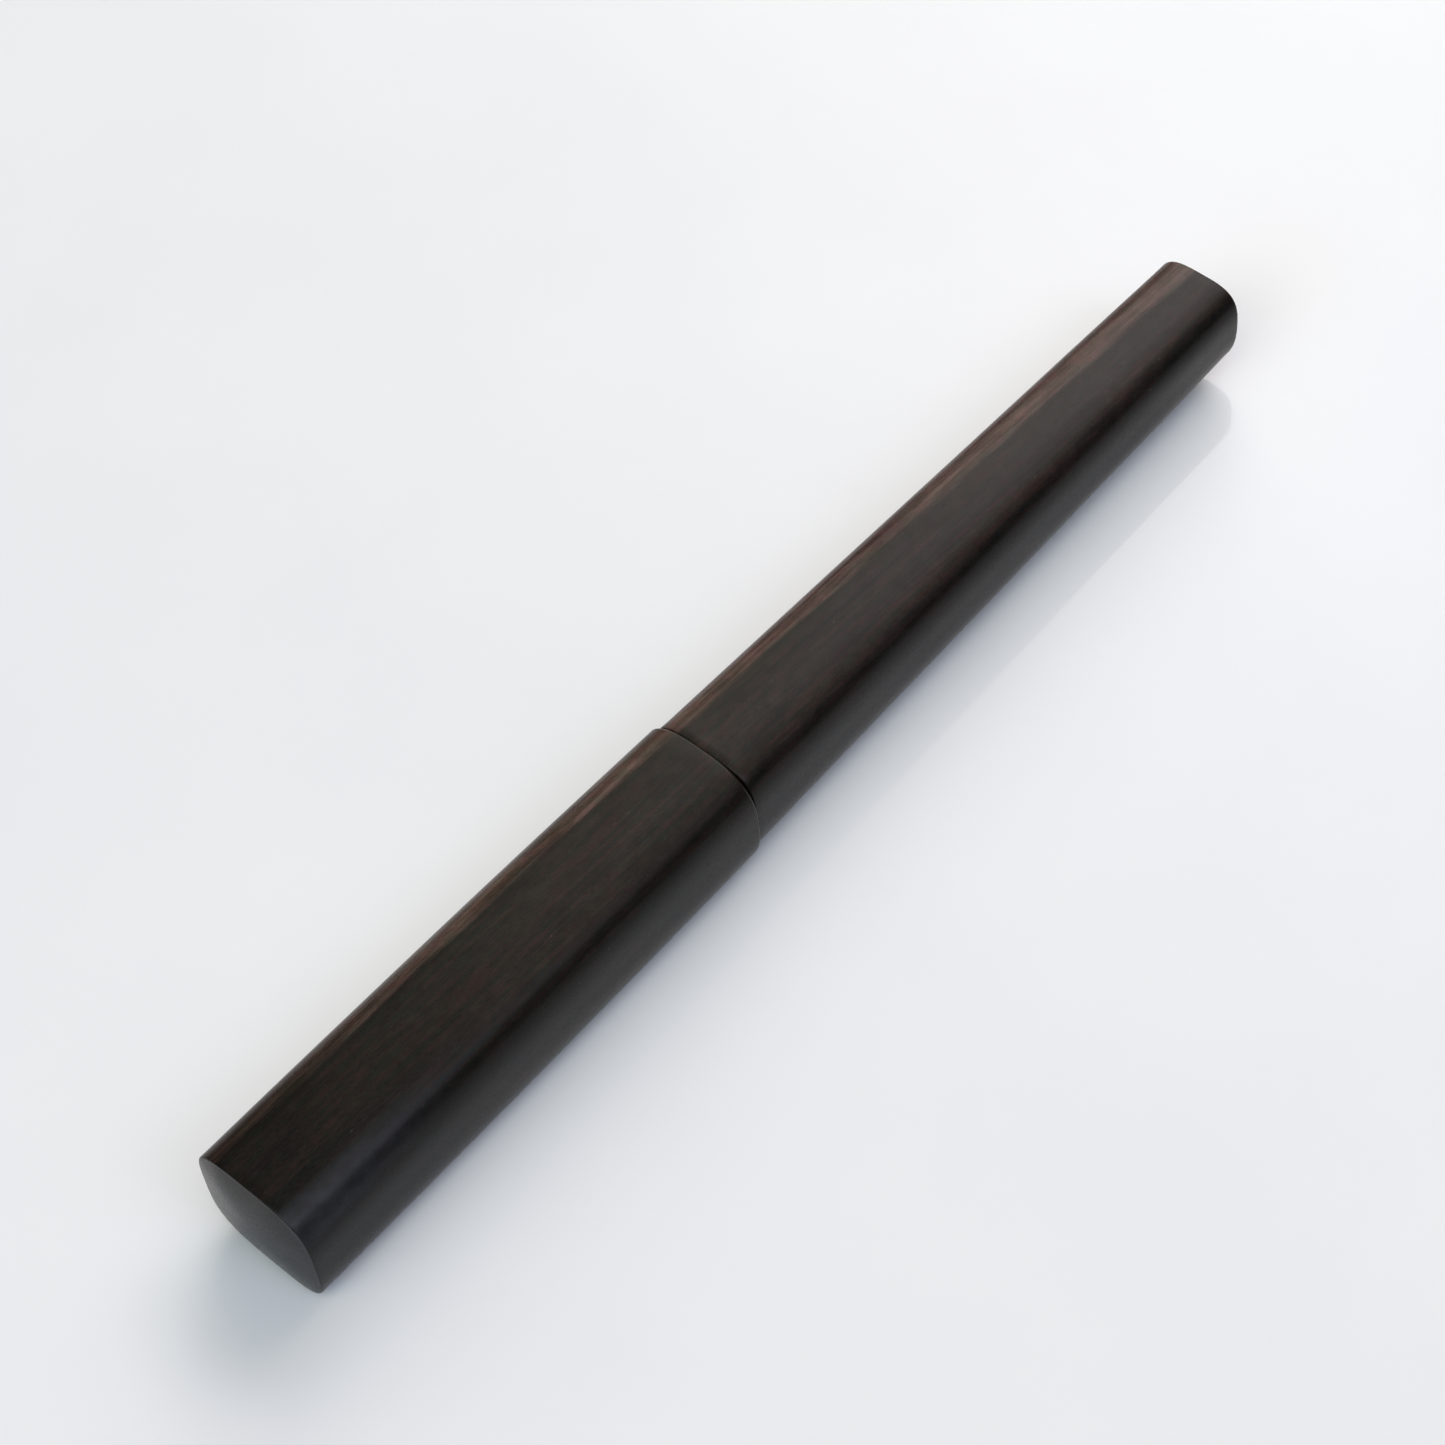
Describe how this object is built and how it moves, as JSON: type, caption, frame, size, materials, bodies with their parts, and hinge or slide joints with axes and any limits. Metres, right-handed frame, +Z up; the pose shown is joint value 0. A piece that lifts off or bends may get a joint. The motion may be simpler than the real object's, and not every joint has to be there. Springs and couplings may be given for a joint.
{
  "type": "dip pen holder",
  "caption": "Dark wooden dip pen holder, rounded square in section, with a tapering barrel and a long pull-off cap over the grip and nib.",
  "frame": {"origin": "on the surface the pen lies on, under its axis and half way along its length", "axes": "+X along the pen from the cap's closed end to the barrel's tail, +Z up, +Y to the left seen from the cap's end"},
  "size_m": [0.15, 0.0156, 0.0153],
  "materials": {
    "ebony": "oiled satin, long dark brown and black grain with a reddish-brown band",
    "turned_ebony": "turned and oiled, satin",
    "brass": "drawn tube, lightly polished",
    "rubber": "matte",
    "spring_steel": "plain spring strip",
    "nib_steel": "polished, slightly oiled"
  },
  "bodies": {
    "holder": {"barrel_body": "ebony", "grip": "turned_ebony", "friction_ring": "rubber", "nib_ferrule": "brass", "nib_clip": "spring_steel"},
    "cap": {"cap_body": "ebony", "cap_liner": "brass"},
    "nib": {"nib": "nib_steel"}
  },
  "joints": [
    {"name": "cap_pull", "type": "slide", "parent": "holder", "child": "cap", "axis": [-1, 0, 0], "range_m": [0, 0.065]},
    {"name": "nib_pull", "type": "slide", "parent": "holder", "child": "nib", "axis": [-1, 0, 0], "range_m": [0, 0.011]}
  ]
}
